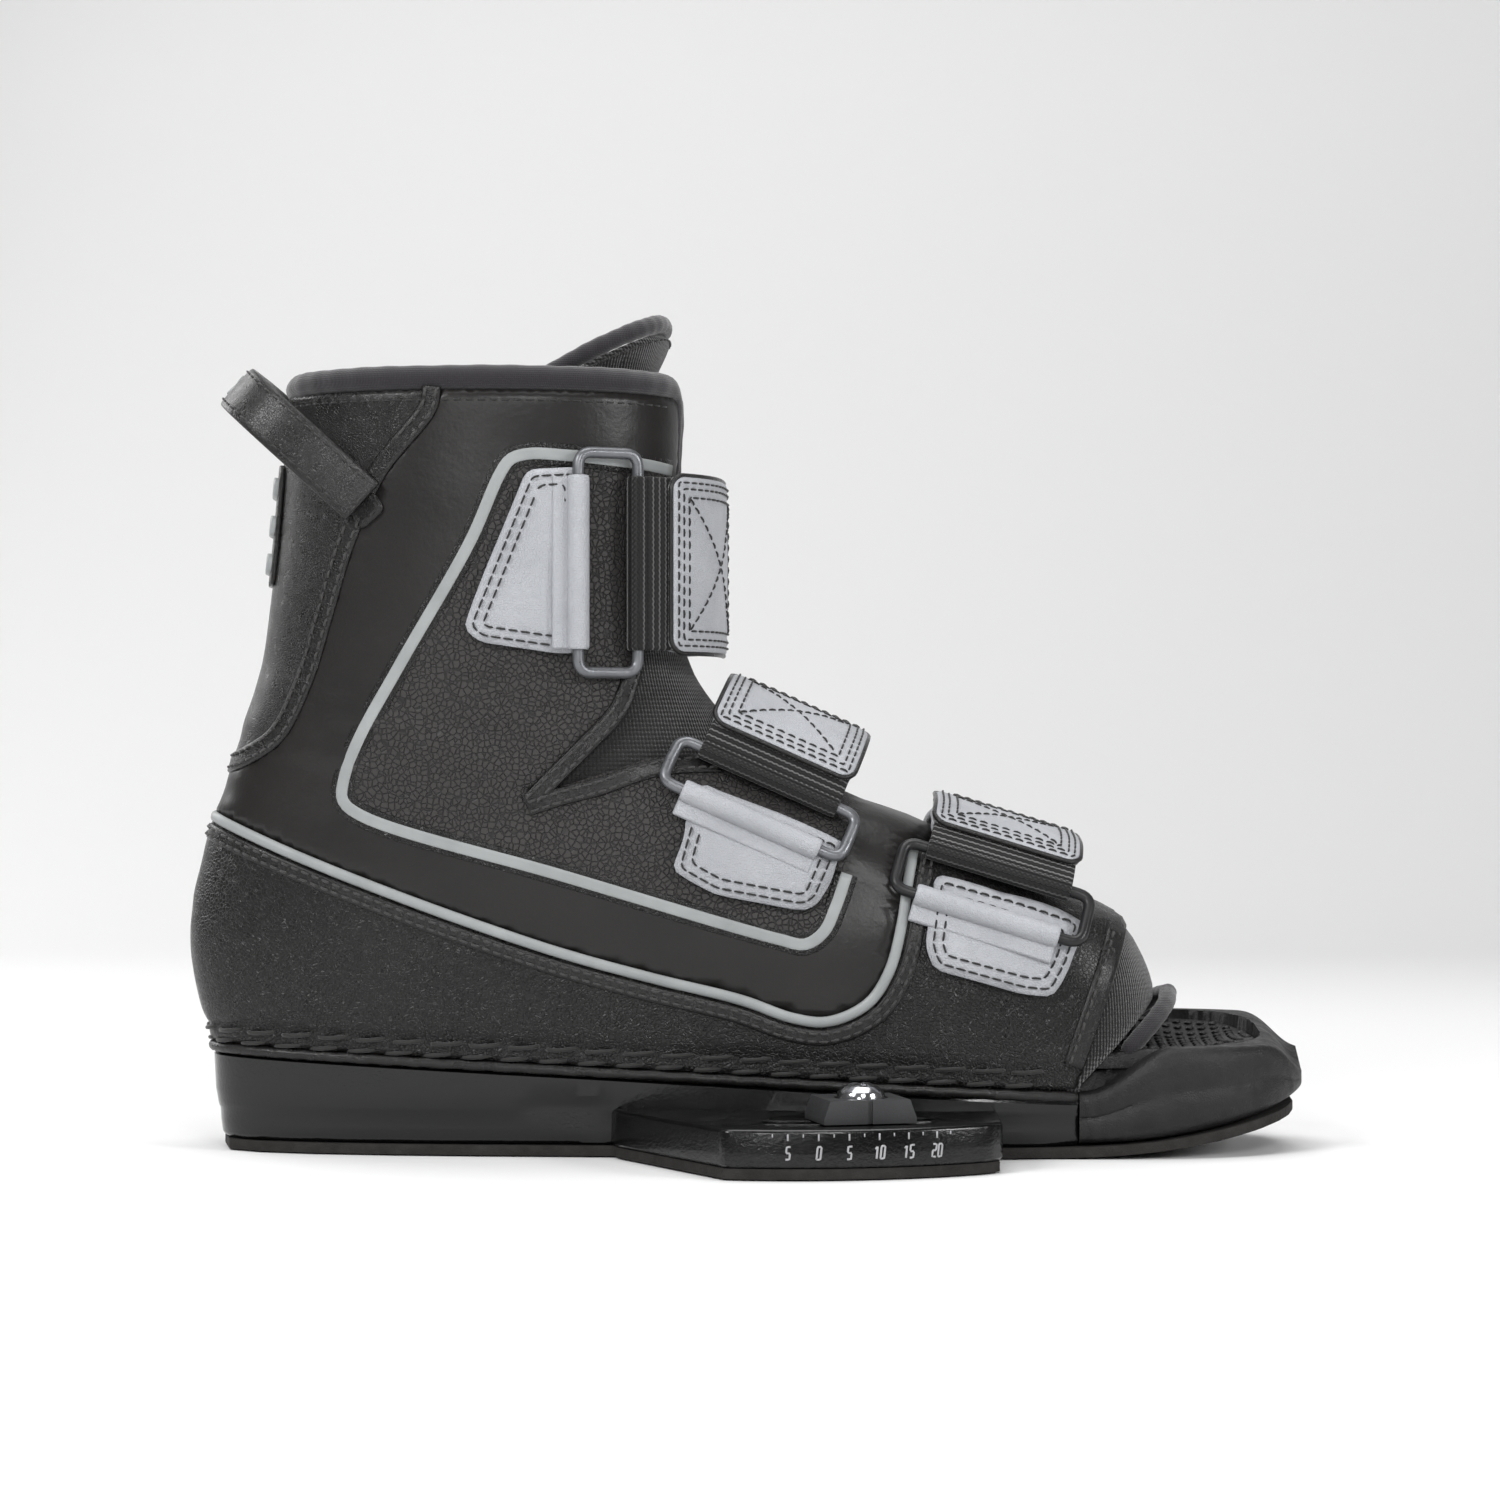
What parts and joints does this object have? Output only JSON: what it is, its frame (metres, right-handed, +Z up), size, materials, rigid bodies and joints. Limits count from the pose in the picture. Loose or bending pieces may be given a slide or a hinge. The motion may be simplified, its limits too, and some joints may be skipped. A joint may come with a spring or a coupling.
{
  "type": "wakeboard binding",
  "caption": "Open-toe water sports boot on a moulded plate with side wings, three hook-and-loop strap closures and two board screws in arc slots.",
  "frame": {"origin": "centre of stance rotation, midway between the two board screws, on the underside that meets the board", "axes": "+X to the toe, +Y to the inner side of this right foot, +Z up out of the board"},
  "size_m": [0.3237, 0.1898, 0.2415],
  "materials": {
    "satin_synthetic": "satin charcoal synthetic",
    "black_leather": "grained semi-gloss black",
    "silver_leather": "pearly silver grey, fine grain",
    "webbing": "ribbed black webbing and loop pile",
    "neoprene": "dark grey knit-faced neoprene",
    "mesh_fabric": "black knit mesh",
    "grey_piping": "raised silver grey",
    "gloss_chassis": "gloss black",
    "eva_foam": "matt black moulded foam",
    "fibre_board": "brown fibre board",
    "grey_ring": "grey satin coating",
    "black_plastic": "matt dark grey",
    "bright_steel": "bright plated steel"
  },
  "bodies": {
    "boot": {"chassis": "gloss_chassis", "base_gasket": "eva_foam", "toe_block": "eva_foam", "footbed": "eva_foam", "lasting_board": "fibre_board", "lasting_screw_1": "bright_steel", "lasting_screw_2": "bright_steel", "lasting_screw_3": "bright_steel", "lasting_screw_4": "bright_steel", "lasting_screw_5": "bright_steel", "lasting_screw_6": "bright_steel", "liner": "neoprene", "tongue": "mesh_fabric", "tongue_binding": "neoprene", "collar_binding": "neoprene", "toe_binding": "neoprene", "back_panel": "black_leather", "quarter_outer": "satin_synthetic", "quarter_inner": "satin_synthetic", "foxing": "black_leather", "quarter_piping_outer": "grey_piping", "quarter_piping_inner": "grey_piping", "welt_piping": "black_leather", "heel_badge": "grey_piping", "ankle_anchor": "silver_leather", "instep_anchor": "silver_leather", "toe_anchor": "silver_leather", "ankle_strap": "webbing", "instep_strap": "webbing", "toe_strap": "webbing"},
    "washer_outer": {"washer_outer": "black_plastic"},
    "washer_inner": {"washer_inner": "black_plastic"},
    "board_screw_outer": {"board_screw_outer": "bright_steel"},
    "board_screw_inner": {"board_screw_inner": "bright_steel"},
    "ankle_ring": {"ankle_ring": "grey_ring"},
    "ankle_flap": {"ankle_webbing": "webbing", "ankle_tab": "silver_leather"},
    "instep_ring": {"instep_ring": "grey_ring"},
    "instep_flap": {"instep_webbing": "webbing", "instep_tab": "silver_leather"},
    "toe_ring": {"toe_ring": "black_plastic"},
    "toe_flap": {"toe_webbing": "webbing", "toe_tab": "silver_leather"},
    "pull_loop": {"pull_loop": "black_leather"}
  },
  "joints": [
    {"name": "stance_outer", "type": "hinge", "parent": "boot", "child": "washer_outer", "pos_m": [0, 0, 0], "axis": [0, 0, 1], "range_deg": [-15, 10]},
    {"name": "stance_inner", "type": "hinge", "parent": "boot", "child": "washer_inner", "pos_m": [0, 0, 0], "axis": [0, 0, 1], "range_deg": [-15, 10]},
    {"name": "screw_turn_outer", "type": "hinge", "parent": "washer_outer", "child": "board_screw_outer", "pos_m": [0.01818, -0.074, 0], "axis": [0, 0, 1], "continuous": true},
    {"name": "screw_turn_inner", "type": "hinge", "parent": "washer_inner", "child": "board_screw_inner", "pos_m": [-0.01818, 0.074, 0], "axis": [0, 0, 1], "continuous": true},
    {"name": "ankle_ring_swing", "type": "hinge", "parent": "boot", "child": "ankle_ring", "pos_m": [-0.06035, -0.0451, 0.168], "axis": [0, 0, -1], "range_deg": [0, 12]},
    {"name": "ankle_tab_peel", "type": "hinge", "parent": "ankle_ring", "child": "ankle_flap", "pos_m": [-0.04386, -0.03711, 0.168], "axis": [0, 0, -1], "range_deg": [0, 110]},
    {"name": "instep_ring_swing", "type": "hinge", "parent": "boot", "child": "instep_ring", "pos_m": [-0.01189, -0.0451, 0.09559], "axis": [0.9135, 0, -0.4067], "range_deg": [0, 12]},
    {"name": "instep_tab_peel", "type": "hinge", "parent": "instep_ring", "child": "instep_flap", "pos_m": [-0.00663, -0.03816, 0.10741], "axis": [0.9135, 0, -0.4067], "range_deg": [0, 110]},
    {"name": "toe_ring_swing", "type": "hinge", "parent": "boot", "child": "toe_ring", "pos_m": [0.0544, -0.04572, 0.06867], "axis": [0.9563, 0, -0.2924], "range_deg": [0, 12]},
    {"name": "toe_tab_peel", "type": "hinge", "parent": "toe_ring", "child": "toe_flap", "pos_m": [0.0583, -0.03791, 0.08142], "axis": [0.9563, 0, -0.2924], "range_deg": [0, 110]},
    {"name": "pull_loop_swing", "type": "hinge", "parent": "boot", "child": "pull_loop", "pos_m": [-0.121, 0, 0.185], "axis": [0, 1, 0], "range_deg": [-50, 35]}
  ],
  "couplings": [
    {"joint": "stance_inner", "follows": "stance_outer", "ratio": 1}
  ]
}
